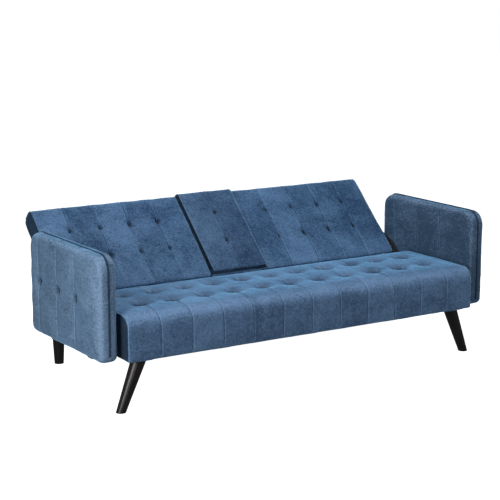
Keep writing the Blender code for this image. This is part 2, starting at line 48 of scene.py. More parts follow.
# ---- The studio: a long lens low on the sitter's right, one broad softbox overhead, one beside the near arm
# and one in front of the far end, over a pale floor.
CAMERA_PLACE = (-3.359, -5.320, 1.743)
CAMERA_DOWN = 11.405                     # degrees below the level
CAMERA_TURN = -32.234                    # degrees, from straight along +Y towards +X
CAMERA_LENS = 107.6
SENSOR = 36.0
SOFTBOXES = (                            # name, place, aimed at, width, height, watts
    ("overhead_softbox", (-0.2, 0.0, 2.5), (-0.1, 0.0, 0.3), 2.4, 1.3, 50.0),
    ("near_side_softbox", (-2.3, -1.0, 0.75), (-0.9, -0.1, 0.40), 0.9, 0.9, 33.0),
    ("front_softbox", (1.2, -3.3, 1.1), (0.4, 0.1, 0.45), 1.1, 0.8, 44.0),
)
ROOM_LIGHT = 0.16
FLOOR_GLOW = 0.97
FLOOR_HALF = 14.0
FLOOR_SHADE, FLOOR_ROUGHNESS = (0.80, 0.80, 0.80, 1), 0.9
WHITE = (1, 1, 1, 1)

camera = bpy.data.objects.new("camera", bpy.data.cameras.new("camera"))
scene.collection.objects.link(camera)
camera.location = CAMERA_PLACE
camera.rotation_euler = (math.radians(90 - CAMERA_DOWN), 0, math.radians(CAMERA_TURN))
camera.data.lens = CAMERA_LENS
camera.data.sensor_width = SENSOR
camera.data.dof.use_dof = False
scene.camera = camera
scene.view_settings.view_transform = "Standard"

for name, place, target, width, height, watts in SOFTBOXES:
    lamp = bpy.data.lights.new(name, "AREA")
    lamp.shape, lamp.size, lamp.size_y, lamp.energy = "RECTANGLE", width, height, watts
    softbox = bpy.data.objects.new(name, lamp)
    scene.collection.objects.link(softbox)
    softbox.location = place
    softbox.rotation_euler = (Vector(target) - Vector(place)).to_track_quat("-Z", "Y").to_euler()
    softbox.visible_camera = False


class Socket:
    """One output of a node. Sums and products of sockets add the Math nodes they need."""

    def __init__(self, tree, output=None):
        self.tree, self.output = tree, output

    def add(self, kind, inputs=None, out=0, stops=(), **settings):
        """Adds a node: its settings first, then the values or links of its sockets."""
        node = self.tree.nodes.new(kind)
        for name, value in settings.items():
            setattr(node, name, value)
        for number, (place, shade) in enumerate(stops):
            if number >= len(node.color_ramp.elements):
                node.color_ramp.elements.new(place)
            node.color_ramp.elements[number].position = place
            node.color_ramp.elements[number].color = (shade, shade, shade, 1)
        for name, value in (inputs or {}).items():
            if isinstance(value, Socket):
                self.tree.links.new(value.output, node.inputs[name])
            else:
                node.inputs[name].default_value = value
        return Socket(self.tree, node.outputs[out])

    def maths(self, operation, first, second=0.0, clamp=False):
        return self.add("ShaderNodeMath", {0: first, 1: second}, operation=operation, use_clamp=clamp)

    def __add__(self, other):
        return self.maths("ADD", self, other)

    def __sub__(self, other):
        return self.maths("SUBTRACT", self, other)

    def __rsub__(self, other):
        return self.maths("SUBTRACT", other, self)

    def __mul__(self, other):
        return self.maths("MULTIPLY", self, other)

    __radd__ = __add__
    __rmul__ = __mul__

    def held(self):
        """The same value kept between 0 and 1."""
        return self.maths("ADD", self, 0.0, clamp=True)

    def blend(self, factor, first, second):
        return self.add("ShaderNodeMix", {0: factor, 6: first, 7: second}, out=2, data_type="RGBA")

    def place(self, stretch=(1, 1, 1), turn=(0, 0, 0)):
        """The place on the piece, in metres, stretched or turned for a pattern."""
        spot = self.add("ShaderNodeTexCoord", out=3)
        return self.add("ShaderNodeMapping", {"Vector": spot, "Scale": stretch, "Rotation": turn})

    def noise(self, at, scale, detail=2.0, roughness=0.5, distortion=0.0):
        return self.add("ShaderNodeTexNoise", {"Vector": at, "Scale": scale, "Detail": detail,
                                               "Roughness": roughness, "Distortion": distortion})

    def ramp(self, factor, *stops):
        return self.add("ShaderNodeValToRGB", {0: factor}, stops=stops)

    def mesh_value(self, name):
        """What the maker's mesh says of this spot, such as how deep in a seam it lies, mostly for painted shade and
        highlights.
        """
        return self.add("ShaderNodeAttribute", out=2, attribute_name=name)


def finish(name, look, **constants):
    """A material: look(socket) gives its colour, roughness and height, and the constants stay the same all over."""
    made = bpy.data.materials.new(name)
    made.use_nodes = True
    tree = made.node_tree
    surface = tree.nodes["Principled BSDF"]
    for socket, value in constants.items():
        surface.inputs[socket.replace("_", " ")].default_value = value
    colour, roughness, height, strength, distance = look(Socket(tree))
    bump = Socket(tree).add("ShaderNodeBump", {"Strength": strength, "Distance": distance, "Height": height})
    for socket, value in (("Base Color", colour), ("Roughness", roughness), ("Normal", bump)):
        tree.links.new(value.output, surface.inputs[socket])
    return made


floor_mesh = bpy.data.meshes.new("studio_floor")
floor_mesh.from_pydata([(x * FLOOR_HALF, y * FLOOR_HALF, 0) for x, y in ((-1, -1), (1, -1), (1, 1), (-1, 1))],
                       [], [(0, 1, 2, 3)])
floor_paint = bpy.data.materials.new("studio_floor_paint")
floor_paint.use_nodes = True
floor_surface = floor_paint.node_tree.nodes["Principled BSDF"]
floor_surface.inputs["Base Color"].default_value = FLOOR_SHADE
floor_surface.inputs["Roughness"].default_value = FLOOR_ROUGHNESS
floor_surface.inputs["Emission Color"].default_value = WHITE
floor_surface.inputs["Emission Strength"].default_value = FLOOR_GLOW
floor_mesh.materials.append(floor_paint)
studio_floor = bpy.data.objects.new("studio_floor", floor_mesh)
scene.collection.objects.link(studio_floor)
studio_floor.visible_diffuse = False
studio_floor.visible_glossy = False

room = bpy.data.worlds.new("white_room")
room.use_nodes = True
scene.world = room
walls = Socket(room.node_tree)
seen = walls.add("ShaderNodeLightPath")
sky = room.node_tree.nodes["Background"]
sky.inputs["Color"].default_value = WHITE
room_light = seen * (1.0 - ROOM_LIGHT) + ROOM_LIGHT      # the camera sees white, and the sofa a dimmer room
room.node_tree.links.new(room_light.output, sky.inputs["Strength"])


# ---- The seat cushion: foam and springs in one long velvet sleeve of twelve strips, sewn side by side and
# pulled down by two rows of tufts. Its front edge rolls over; its ends are flat boxing panels.
STRIP = 0.140
SEAT_END = 0.840
SEAT_FRONT, SEAT_REAR, SEAT_BOTTOM, SEAT_TOP = -0.4675, 0.1075, 0.2036, 0.3936
SEAT_TUFT_ROWS, SEAT_TUFT_SIZE = (-0.306, -0.146), (0.0300, 0.0250)
SEAT_SLOPE = (-0.050, 0.042)             # where the top starts to fall away under the back, and by how much
SEAT_CROWN = 0.004
SEAT_SUNK = 0.009                        # how far the sleeve lies below the cushion's height before it is stuffed
SEAT_RADII = (0.006, 0.006, 0.040, 0.052)
SEAT_WALL = 0.022                        # the cushion's thickness round the springs' pocket
SEAT_MOST = 0.0065                       # the most it swells
SEAT_VOXEL = 0.007
SEAT_DEEP, SEAT_BRIGHT = (0.030, 0.062, 0.122, 1), (0.112, 0.200, 0.344, 1)
ARC_STEPS = 8
LEAST_RADIUS = 0.0006
END_ROUNDING = 0.010
LEAST_SWELL = 1e-6
PRESSURE, CLOTH_FRAMES = 4.0, 20
HOLD_LEVELS = 20                         # steps of the weights that hold the cloth
EASINGS = 3
SEAM_WIDTH, SEAM_SWAY = 0.0030, (0.0022, 0.07)
ROLL_HEIGHT, ROLL_AWAY, ROLL_WIDTH = 0.0007, 0.009, 0.005      # the soft roll on each side of a seam
TUFT_DRIFT, TUFT_SPREAD = 0.004, (0.86, 1.16)
TUFT_FOLDS, TUFT_FOLD_DEPTH = 5, 0.12
TUFT_SHAPE = ((0.46, 1.25), (0.32, 0.62), (0.22, 0.30))        # share of the depth, and reach in tuft sizes
CRUSH = ((0.014, 0.0005), (0.05, 0.0012))                      # size and height of the cloth's unevenness


def outline(box, radii, inset=0.0):
    """A rectangle (y, y, z, z) with its four corners rounded, from the low near corner round over the top."""
    near, far, low, high = box[0] + inset, box[1] - inset, box[2] + inset, box[3] - inset
    points = []
    corners = ((near, low, 180), (far, low, 270), (far, high, 0), (near, high, 90))
    for (y, z, start), radius in zip(corners, radii):
        radius = max(radius - inset, LEAST_RADIUS)
        middle = (y + radius if y == near else y - radius, z + radius if z == low else z - radius)
        for step in range(ARC_STEPS + 1):
            angle = math.radians(start + 90 * step / ARC_STEPS)
            points.append((middle[0] + radius * math.cos(angle), middle[1] + radius * math.sin(angle)))
    return points


def object_of(name, points, faces, edges=()):
    mesh = bpy.data.meshes.new(name)
    mesh.from_pydata(points, edges, faces)
    made = bpy.data.objects.new(name, mesh)
    scene.collection.objects.link(made)
    return made


def applied(piece):
    """Turns what the piece's modifiers make into its own plain mesh."""
    graph = bpy.context.evaluated_depsgraph_get()
    mesh = bpy.data.meshes.new_from_object(piece.evaluated_get(graph))
    piece.modifiers.clear()
    piece.data = mesh
    return piece


def box_of(name, low, high):
    corners = [(x, y, z) for z in (low[2], high[2]) for y in (low[1], high[1]) for x in (low[0], high[0])]
    sides = [(0, 2, 3, 1), (4, 5, 7, 6), (0, 1, 5, 4), (2, 6, 7, 3), (0, 4, 6, 2), (1, 3, 7, 5)]
    return object_of(name, corners, sides)


def sleeve(name, box, radii, ends, rounding, voxel, pocket=None):
    """A sewn sleeve before it is stuffed: the outline run from end to end, its end edges rounded."""
    rings = []
    for end, way in ((ends[0], 1), (ends[1], -1)):
        turns = range(ARC_STEPS + 1) if way > 0 else range(ARC_STEPS, -1, -1)
        for turn in turns:
            angle = math.pi / 2 * turn / ARC_STEPS
            across = end + way * rounding * (1 - math.cos(angle))
            ring = outline(box, radii, rounding * (1 - math.sin(angle)))
            rings.append([(across, y, z) for y, z in ring])
    size = len(rings[0])
    faces = [tuple(reversed(range(size))), tuple(range((len(rings) - 1) * size, len(rings) * size))]
    for row in range(len(rings) - 1):
        for spot in range(size):
            after = (spot + 1) % size
            faces.append((row * size + spot, row * size + after, (row + 1) * size + after, (row + 1) * size + spot))
    made = object_of(name, [point for ring in rings for point in ring], faces)
    if pocket:
        hollow = box_of(name + "_pocket", *pocket)
        opening = made.modifiers.new("pocket", "BOOLEAN")
        opening.object, opening.operation, opening.solver = hollow, "DIFFERENCE", "EXACT"
        applied(made)
        bpy.data.objects.remove(hollow)
    cloth = made.modifiers.new("cloth", "REMESH")
    cloth.mode, cloth.voxel_size = "VOXEL", voxel
    return applied(made)


def spots_of(mesh):
    spots = np.empty(len(mesh.vertices) * 3, np.float32)
    mesh.vertices.foreach_get("co", spots)
    return spots.reshape(-1, 3).astype(np.float64)


def outward(mesh):
    ways = np.empty(len(mesh.vertices) * 3, np.float32)
    mesh.vertex_normals.foreach_get("vector", ways)
    return ways.reshape(-1, 3).astype(np.float64)


def put_spots(mesh, spots):
    mesh.vertices.foreach_set("co", spots.astype(np.float32).ravel())
    mesh.update()


def near(distance, reach):
    """1 at no distance, falling smoothly to 0 well outside the reach."""
    return np.exp(-((distance / reach) ** 2))


def cloudy(spots, size, seed):
    """Smooth random values from -1 to 1, one hump to about every size metres."""
    cells = 32
    lattice = np.random.default_rng(seed).uniform(-1, 1, (cells, cells, cells))
    scaled = spots / size
    base = np.floor(scaled).astype(int)
    part = scaled - base
    part = part * part * (3 - 2 * part)
    total = 0.0
    for corner in np.ndindex(2, 2, 2):
        at = (base + corner) % cells
        share = np.prod(np.where(np.array(corner), part, 1 - part), axis=1)
        total = total + share * lattice[at[:, 0], at[:, 1], at[:, 2]]
    return total


def swelling(pad, held):
    """Fills the sleeve with air and gives how far each spot of its cloth moved. Held cloth stays."""
    before = spots_of(pad.data)
    group = pad.vertex_groups.new(name="held")
    levels = np.round(np.clip(held, 0, 1) * HOLD_LEVELS).astype(int)
    for level in range(1, HOLD_LEVELS + 1):
        group.add(np.flatnonzero(levels == level).tolist(), level / HOLD_LEVELS, "REPLACE")
    filling = pad.modifiers.new("filling", "CLOTH")
    cloth = filling.settings
    cloth.quality, cloth.mass = 5, 0.3
    cloth.tension_stiffness = cloth.compression_stiffness = 12.0
    cloth.shear_stiffness, cloth.bending_stiffness = 5.0, 0.4
    cloth.use_pressure, cloth.uniform_pressure_force = True, PRESSURE
    cloth.vertex_group_mass = "held"
    cloth.pin_stiffness = 1.0
    cloth.effector_weights.gravity = 0.0
    for number in range(1, CLOTH_FRAMES + 1):
        scene.frame_set(number)
    moved = spots_of(pad.evaluated_get(bpy.context.evaluated_depsgraph_get()).data) - before
    pad.modifiers.clear()
    pad.vertex_groups.clear()
    scene.frame_set(1)
    return moved


def eased(pad, values):
    """Each spot's value averaged with its neighbours', so that the swelling has no sharp creases of its own."""
    ends = np.empty(len(pad.data.edges) * 2, np.int32)
    pad.data.edges.foreach_get("vertices", ends)
    first, second = ends.reshape(-1, 2).T
    size = len(values)
    count = np.bincount(first, minlength=size) + np.bincount(second, minlength=size)
    for _ in range(EASINGS):
        beside = np.bincount(first, values[second], size) + np.bincount(second, values[first], size)
        values = 0.5 * values + 0.5 * beside / np.maximum(count, 1)
    return values


def stuff(pad, held, most):
    """Stuffs the sleeve: it swells outwards where it isn't held, and no spot by more than its most."""
    ways = outward(pad.data)
    swell = np.maximum(np.sum(swelling(pad, held) * ways, axis=1), 0)
    swell = eased(pad, most * np.tanh(swell / np.maximum(most, LEAST_SWELL)))
    put_spots(pad.data, spots_of(pad.data) + ways * swell[:, None])


def smoothed(pad):
    """One subdivision, applied."""
    subdivision = pad.modifiers.new("subdivision", "SUBSURF")
    subdivision.levels = subdivision.render_levels = 1
    return applied(pad)


def sewn(pad, seams, tufts, facing, depth, dimple, seed, width=SEAM_WIDTH, sway=SEAM_SWAY, dark=0.0, painted_light=None):
    """Draws seams and tufts into the stuffed cloth. Seams run at constant places on one axis, and tufts pull in
    against facing. Leaves for the velvet how deep each spot lies in a seam or a tuft, for painted shade there and
    a painted highlight beside seams; how round the cloth is, for a painted highlight on bends; how much painted
    shade darkens a side panel; and how each strip is brushed, with any painted light and shade that the last
    argument gives for spots and ways on top."""
    axis, places, mask = seams
    spots, ways = spots_of(pad.data), outward(pad.data)
    seam, pull = np.zeros(len(spots)), np.zeros(len(spots))
    facing = np.array(facing, float)
    faces = np.clip((ways @ facing - 0.35) / 0.4, 0, 1)
    wander = sway[0] * cloudy(spots, sway[1], seed)
    # How round the cloth is here: the velvet paints a highlight, with stronger grain, where it bends round an edge.
    bend_highlight = np.clip((1 - np.abs(ways).max(axis=1)) / 0.22, 0, 1)
    # Painted shade on the side panels, as strong as dark asks.
    side = dark * np.clip((np.abs(ways[:, 1 - axis if axis else 0]) - 0.75) / 0.2, 0, 1)
    on = mask(spots, ways)
    for place in places:
        beside = spots[:, axis] - place + wander
        seam = np.maximum(seam, near(beside, width) * on)
        spots += ways * (ROLL_HEIGHT * near(np.abs(beside) - ROLL_AWAY, ROLL_WIDTH) * on)[:, None]
    chance = np.random.default_rng(seed + 5)
    for spot, wide, long in tufts:
        drift, (grown_by, deeper) = chance.uniform(-TUFT_DRIFT, TUFT_DRIFT, 3), chance.uniform(*TUFT_SPREAD, 2)
        away = (spots - np.array(spot) - drift) / grown_by
        away -= np.outer(away @ facing, facing)
        across, along = away[:, 0], np.linalg.norm(away[:, 1:], axis=1)
        if wide == long:
            across, along = np.linalg.norm(away, axis=1), 0.0
        reach = np.sqrt((across / wide) ** 2 + (along / long) ** 2)
        angle = np.arctan2(away[:, 0], away[:, 1] + away[:, 2])
        folds = 1 + TUFT_FOLD_DEPTH * np.sin(TUFT_FOLDS * angle + seed + 40 * spot[0]) * near(reach - 1.2, 0.8)
        dent = sum(share * near(reach, size) for share, size in TUFT_SHAPE)
        pull = np.maximum(pull, faces * dent * folds * deeper)
    crush = sum(cloudy(spots, size, seed + number) * height for number, (size, height) in enumerate(CRUSH, 1))
    # Each strip's random brushing tone, with any painted light and shade from the last argument added on top.
    strips = np.searchsorted(np.array(sorted(places)), spots[:, axis])
    brushing_and_painted_light = np.random.default_rng(seed).uniform(-0.5, 0.5, len(places) + 1)[strips]
    if painted_light:
        brushing_and_painted_light = brushing_and_painted_light + painted_light(spots, ways)
    put_spots(pad.data, spots - ways * (depth * seam + dimple * pull - crush)[:, None])
    for name, values in (("seam", seam), ("tuft", pull), ("bend_highlight", bend_highlight), ("side", side), ("strip", brushing_and_painted_light)):
        layer = pad.data.attributes.new(name, "FLOAT", "POINT")
        layer.data.foreach_set("value", values.astype(np.float32))
    pad.data.shade_smooth()


PAINTED_FOLD_SHADE = 0.20                        # painted shade, as a share of the deep colour, in the bottom of a seam or a tuft and on a side panel
SHEEN_TINT = (0.24, 0.58, 0.97, 1)


def velvet(name, deep, bright, grain=1.0):
    """Short-pile velvet: each strip brushed a little differently, and patches and streaks where the pile was stroked
    one way or the other. Painted on top: a pale painted highlight beside seams and round bends, and painted shade in
    seams, tufts and side panels."""
    def look(s):
        patches = s.noise(s.place(), 6.0, 4.0, 0.62, 0.8)
        brushed = s.noise(s.place((1.0, 0.6, 1.6)), 36.0, 3.0, 0.65, 1.4)
        streaks = s.noise(s.place((5.0, 1.0, 1.0), (0, 0, 0.25)), 110.0, 2.0, 0.6)
        tufts = s.noise(s.place(), 150.0, 3.0, 0.75)
        pile = s.noise(s.place(), 1300.0, 1.0, 0.6)
        nap = s.ramp(patches, (0.30, 0.0), (0.70, 1.0)) * (0.42 * grain)
        nap = nap + s.ramp(brushed, (0.30, 0.0), (0.74, 1.0)) * 0.36
        # Painted highlight: paler cloth, and stronger grain, where it bends round an edge. The strip value adds each
        # strip's random tone and the piece's painted light and shade.
        bend_highlight = s.mesh_value("bend_highlight")
        nap = nap + (streaks - 0.5) * 0.34 + (tufts - 0.5) * ((bend_highlight * 1.6 + 1.6) * grain)
        nap = nap + (pile - 0.5) * (bend_highlight * 1.1 + 0.45) + s.mesh_value("strip") * 0.34 + bend_highlight * 0.32 - 0.01
        seam = s.mesh_value("seam")
        # Painted highlight: a pale band beside each seam.
        seam_highlight = s.ramp(seam, (0.03, 0.0), (0.20, 1.0), (0.48, 0.0)) * 0.42
        colour = s.blend((nap + seam_highlight).held(), deep, bright)
        # Painted shade: darker in the bottoms of seams and tufts, and on side panels.
        shade = s.ramp(seam, (0.50, 0.0), (0.95, 1.0)) * 0.55
        shade = shade + s.ramp(s.mesh_value("tuft"), (0.20, 0.0), (0.72, 1.0)) * 0.78
        shade = (shade + s.mesh_value("side")).held()
        colour = s.blend(shade, colour, tuple(PAINTED_FOLD_SHADE * part for part in deep[:3]) + (1,))
        roughness = 0.60 + (1.0 - nap).held() * 0.25
        height = pile * 0.45 + streaks * 0.25 + tufts * 0.9 + brushed * 1.2
        return colour, roughness, height, 0.45, 0.0013
    return finish(name, look, Specular_IOR_Level=0.14, Sheen_Weight=0.95, Sheen_Roughness=0.32,
                  Sheen_Tint=SHEEN_TINT)


def placed(piece, material, body, slot, *stands_for, matrix=None):
    """Puts a finished piece in its place, on its body, in its finish."""
    if matrix is not None:
        piece.data.transform(matrix)
    piece.data.materials.clear()
    piece.data.materials.append(material)
    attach(piece, body)
    if stands_for:
        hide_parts(*stands_for)
    return piece


seat_velvet = velvet("seat_velvet_cloth", SEAT_DEEP, SEAT_BRIGHT)
SEAT_BOX = (SEAT_FRONT, SEAT_REAR, SEAT_BOTTOM, SEAT_TOP - SEAT_SUNK)
SEAT_POCKET = ((-SEAT_END + SEAT_WALL, SEAT_FRONT + SEAT_WALL, SEAT_BOTTOM - 0.02),
               (SEAT_END - SEAT_WALL, SEAT_REAR - SEAT_WALL, SEAT_BOTTOM + 0.010))
seat = sleeve("seat_cushion", SEAT_BOX, SEAT_RADII, (-SEAT_END, SEAT_END), END_ROUNDING, SEAT_VOXEL, SEAT_POCKET)
seat_seams = [STRIP * number for number in range(-5, 6)]
seat_spots = spots_of(seat.data)
x, y, z = seat_spots.T
depth_in = np.clip((y - SEAT_FRONT) / (SEAT_REAR - SEAT_FRONT), 0, 1)
crown = SEAT_CROWN * np.sin(np.pi * depth_in) ** 0.8 * np.clip((z - 0.30) / 0.08, 0, 1)
back_slope = np.clip((y - SEAT_SLOPE[0]) / (SEAT_REAR - SEAT_SLOPE[0]), 0, 1)
droop = SEAT_SLOPE[1] * back_slope ** 2 * (3 - 2 * back_slope) * np.clip((z - 0.27) / 0.11, 0, 1)
seat_spots[:, 2] += crown - droop
put_spots(seat.data, seat_spots)
to_seam = np.min([np.abs(x - place) for place in seat_seams], axis=0)
to_tuft = np.min([np.hypot(x - a, y - b) for a in seat_seams for b in SEAT_TUFT_ROWS], axis=0)
end_face = np.abs(x) > SEAT_END - 0.004
seat_held = np.maximum.reduce([
    0.25 * near(to_seam, 0.010), near(to_tuft, 0.018) * (z > 0.36), 1.0 * end_face, 1.0 * (z < SEAT_BOTTOM + 0.014),
    0.8 * (y > SEAT_REAR - 0.004), 0.45 * near(np.abs(np.abs(x) - SEAT_END), 0.02)])
seat_most = SEAT_MOST * np.clip((z - 0.215) / 0.03, 0, 1) * np.where(y < SEAT_FRONT + 0.02, 0.55, 1.0)
stuff(seat, seat_held, seat_most + LEAST_SWELL)
smoothed(seat)


def seat_seams_show(at, way):
    """Seams show on the top and the front, and more faintly behind the first row of tufts."""
    up_or_front = np.clip(np.maximum(way[:, 2], -way[:, 1]) * 2 - 0.4, 0, 1)
    above_hem = np.clip((at[:, 2] - SEAT_BOTTOM - 0.008) / 0.01, 0, 1)
    return up_or_front * above_hem * np.where((at[:, 1] > SEAT_TUFT_ROWS[0] + 0.02), 0.40, 1.0)


def seat_painted_light(at, way):
    """Painted light: a painted highlight along the front roll, and painted shade towards the back cushion."""
    roll = 0.8 * near(at[:, 1] - SEAT_FRONT - 0.030, 0.026) * (at[:, 2] > 0.34)
    return roll - 0.5 * np.clip(at[:, 1] / 0.08, 0, 1)


seat_tufts = [((a, b, 0.40), *SEAT_TUFT_SIZE) for a in seat_seams for b in SEAT_TUFT_ROWS]
# The seat's boxed ends get painted shade (dark=0.9), and its front roll and rear get the painted light above.
sewn(seat, (0, seat_seams, seat_seams_show), seat_tufts, (0, 0, 1), 0.0028, 0.0230, 3, dark=0.9, painted_light=seat_painted_light)
placed(seat, seat_velvet, "base", "seat_velvet", "seat_upholstery")


def tree_of(name, sizes, build):
    """A node tree that grows a piece from a line: build(socket, inputs) gives its geometry."""
    tree = bpy.data.node_groups.new(name, "GeometryNodeTree")
    tree.interface.new_socket("Line", in_out="INPUT", socket_type="NodeSocketGeometry")
    for label, kind in sizes:
        tree.interface.new_socket(label, in_out="INPUT", socket_type="NodeSocket" + kind)
    tree.interface.new_socket("Finish", in_out="INPUT", socket_type="NodeSocketMaterial")
    tree.interface.new_socket("Piece", in_out="OUTPUT", socket_type="NodeSocketGeometry")
    given, result = tree.nodes.new("NodeGroupInput"), tree.nodes.new("NodeGroupOutput")
    inputs = {socket.name: Socket(tree, socket) for socket in given.outputs if socket.name}
    made = build(Socket(tree), inputs)
    made = made.add("GeometryNodeSetShadeSmooth", {0: made})
    made = made.add("GeometryNodeRealizeInstances", {0: made})
    made = made.add("GeometryNodeSetMaterial", {"Geometry": made, "Material": inputs["Finish"]})
    tree.links.new(made.output, result.inputs[0])
    return tree


def grown(name, tree, lines, material, body, slot, matrix=None, **sizes):
    """Grows one piece along these lines of points, and puts it in its place."""
    points = [tuple(point) for line in lines for point in line]
    edges, first = [], 0
    for line in lines:
        edges += [(first + spot, first + spot + 1) for spot in range(len(line) - 1)]
        first += len(line)
    made = object_of(name, points, [], edges)
    maker = made.modifiers.new("maker", "NODES")
    maker.node_group = tree
    named = {item.name: item.identifier for item in tree.interface.items_tree if item.in_out == "INPUT"}
    for label, value in sizes.items():
        maker[named[label.replace("_", " ")]] = value
    maker[named["Finish"]] = material
    applied(made)
    return placed(made, material, body, slot, matrix=matrix)


def piping_nodes(s, given):
    line = s.add("GeometryNodeMeshToCurve", {0: given["Line"]})
    line = s.add("GeometryNodeResampleCurve", {"Curve": line, "Length": given["Spacing"]}, mode="LENGTH")
    cord = s.add("GeometryNodeCurvePrimitiveCircle", {"Resolution": 10, "Radius": given["Radius"]}, mode="RADIUS")
    return s.add("GeometryNodeCurveToMesh", {"Curve": line, "Profile Curve": cord, "Fill Caps": True})


def stitch_nodes(s, given):
    line = s.add("GeometryNodeMeshToCurve", {0: given["Line"]})
    line = s.add("GeometryNodeResampleCurve", {"Curve": line, "Length": given["Pitch"]}, mode="LENGTH")
    along = s.add("GeometryNodeInputTangent")
    turn = s.add("FunctionNodeAlignRotationToVector", {"Vector": along}, axis="Z")
    stitch = s.add("GeometryNodeMeshUVSphere", {"Segments": 6, "Rings": 4, "Radius": 1.0})
    stitch = s.add("GeometryNodeTransform", {"Geometry": stitch, "Scale": given["Stitch"]})
    slack = s.add("FunctionNodeRandomValue", {2: 0.85, 3: 1.15, "Seed": 7}, out=1, data_type="FLOAT")
    return s.add("GeometryNodeInstanceOnPoints", {"Points": line, "Instance": stitch, "Rotation": turn,
                                                  "Scale": slack})


piping_tree = tree_of("piping", (("Radius", "Float"), ("Spacing", "Float")), piping_nodes)
stitch_tree = tree_of("stitches", (("Pitch", "Float"), ("Stitch", "Vector")), stitch_nodes)
PIPING_RADIUS, PIPING_SPACING = 0.0028, 0.006
PIPING_OUT = PIPING_RADIUS * 0.5 - 0.0006      # the piping's middle above the cloth that it is sewn to
PIPING_STEP = 0.010
STITCH_PITCH = 0.0065
STITCH_SIZE = (0.00045, 0.00045, 0.0022)
SEAM_STEP = 0.008
SEAM_ABOVE, SEAM_BELOW = -0.05, 0.012          # insets between which the cloth is looked for


def over_the_top(box, radii, inset):
    """The outline without its lowest side: up one side, over the top and down the other."""
    ring, corner = outline(box, radii, inset), ARC_STEPS + 1
    return [ring[2 * corner - 1]] + ring[2 * corner:] + [ring[0]]


def seam_line(cloth, axis, place, box, radii):
    """Follows one seam over the finished cushion, from side to side over its top."""
    outer, inner = over_the_top(box, radii, SEAM_ABOVE), over_the_top(box, radii, SEAM_BELOW)
    line = []
    for number in range(len(outer) - 1):
        a, b = np.array((outer[number], inner[number])), np.array((outer[number + 1], inner[number + 1]))
        steps = max(1, round(float(np.linalg.norm(b[0] - a[0])) / SEAM_STEP))
        for part in range(steps):
            start, goal = a + (b - a) * part / steps
            start, goal = ((place, *start), (place, *goal)) if axis == 0 else (
                (start[0], place, start[1]), (goal[0], place, goal[1]))
            spot = cloth.ray_cast(Vector(start), Vector(goal) - Vector(start), 0.2)[0]
            if spot is not None:
                line.append(spot)
    return line


def cloth_of(piece):
    return BVHTree.FromObject(piece, bpy.context.evaluated_depsgraph_get())


def laid_on(cloth, line):
    """Lays a line of piping along the edge of the cloth beneath it."""
    laid = []
    for start, goal in zip(map(Vector, line[:-1]), map(Vector, line[1:])):
        steps = max(1, round((goal - start).length / PIPING_STEP))
        for part in range(steps):
            spot, way = cloth.find_nearest(start.lerp(goal, part / steps))[:2]
            laid.append(spot + way * PIPING_OUT)
    return laid


def thread_look(s):
    twist = s.add("ShaderNodeTexWave", {"Vector": s.place((1, 1, 1), (0.6, 0.4, 0)), "Scale": 600.0,
                                        "Distortion": 1.0}, out=1)
    return s.blend(twist, (0.030, 0.070, 0.140, 1), (0.060, 0.125, 0.225, 1)), twist * 0.2 + 0.5, twist, 0.4, 0.0003


thread = finish("blue_thread", thread_look)
# A lighter copy of the seat velvet: painted highlight, for the rim light along the piping.
seat_piping_velvet_highlighted = velvet("seat_piping_cloth_painted_highlight", (0.045, 0.095, 0.175, 1), (0.210, 0.330, 0.480, 1))
seat_cloth = cloth_of(seat)
grown("seat_stitches", stitch_tree, [seam_line(seat_cloth, 0, place, SEAT_BOX, SEAT_RADII) for place in seat_seams],
      thread, "base", "seat_velvet", Pitch=STITCH_PITCH, Stitch=STITCH_SIZE)
for side, sign in SIDES:
    ring = outline(SEAT_BOX, SEAT_RADII, 0.0016)
    line = [(sign * (SEAT_END - 0.0022), *point) for point in ring[ARC_STEPS + 1:] + ring[:ARC_STEPS + 1]]
    grown(f"seat_piping_{side}", piping_tree, [laid_on(seat_cloth, line)], seat_piping_velvet_highlighted, "base", "seat_velvet",
          Radius=PIPING_RADIUS, Spacing=PIPING_SPACING)


# ---- The back cushions: two tufted cushions of five strips each on one wooden frame, which turns on a hinge
# at each end. They are piped along both ends, their faces roll down over the seat, and a narrow velvet skirt
# closes the foot of the console's bay.
BACK_AXIS = (0.0, 0.11149, 0.3836)
BACK_ANGLE = 43.3
BACK_PLACE = Matrix.Translation(BACK_AXIS) @ Matrix.Rotation(math.radians(BACK_ANGLE), 4, "X")
BACK_BOX = (0.006, 0.418, -0.094, 0.003)
BACK_RADII = (0.004, 0.026, 0.030, 0.018)
BACK_INNER, BACK_OUTER = 0.1415, 0.840
BACK_SEAMS = (0.28, 0.42, 0.56, 0.70)
BACK_TUFT_ROWS, BACK_TUFT_SIZE = (0.136, 0.283), (0.0130, 0.0200)
BACK_SWAY = (0.0055, 0.13)
BACK_LIP = 0.046                         # how far the face rolls down over the seat
BACK_MOST = 0.0080
BACK_VOXEL = 0.0065
SKIRT_BOX, SKIRT_END = (-0.040, -0.027, -0.026, 0.003), 0.1385
LIP_DEPTH, LIP_FULL = 0.031, 0.024       # behind the face: where the lip starts, and over how much it grows
LIP_TOP, LIP_REACH = 0.059, 0.055        # above the foot: likewise


def rolled(spots, box, lip):
    """The face of a cushion rolls down over the seat: its lowest part reaches lower by up to this much."""
    foot, face = box[0], box[3]
    moved = np.array(spots, float)
    forward = np.clip((moved[:, 2] - face + LIP_DEPTH) / LIP_FULL, 0, 1)
    moved[:, 1] -= lip * (forward * np.clip((foot + LIP_TOP - moved[:, 1]) / LIP_REACH, 0, 1))
    return moved


def back_seams_show(at, way):
    """Seams show on the face and the top, but not on the rear."""
    return np.clip(np.maximum(way[:, 2], way[:, 1]) * 2 - 0.4, 0, 1) * np.clip((at[:, 2] + 0.085) / 0.02, 0, 1)


def back_painted_light(at, way):
    """Painted light: a painted highlight that grows towards the seat, and the rest a little darker."""
    return 0.9 * np.clip((0.120 - at[:, 1]) / 0.15, 0, 1) - 0.15
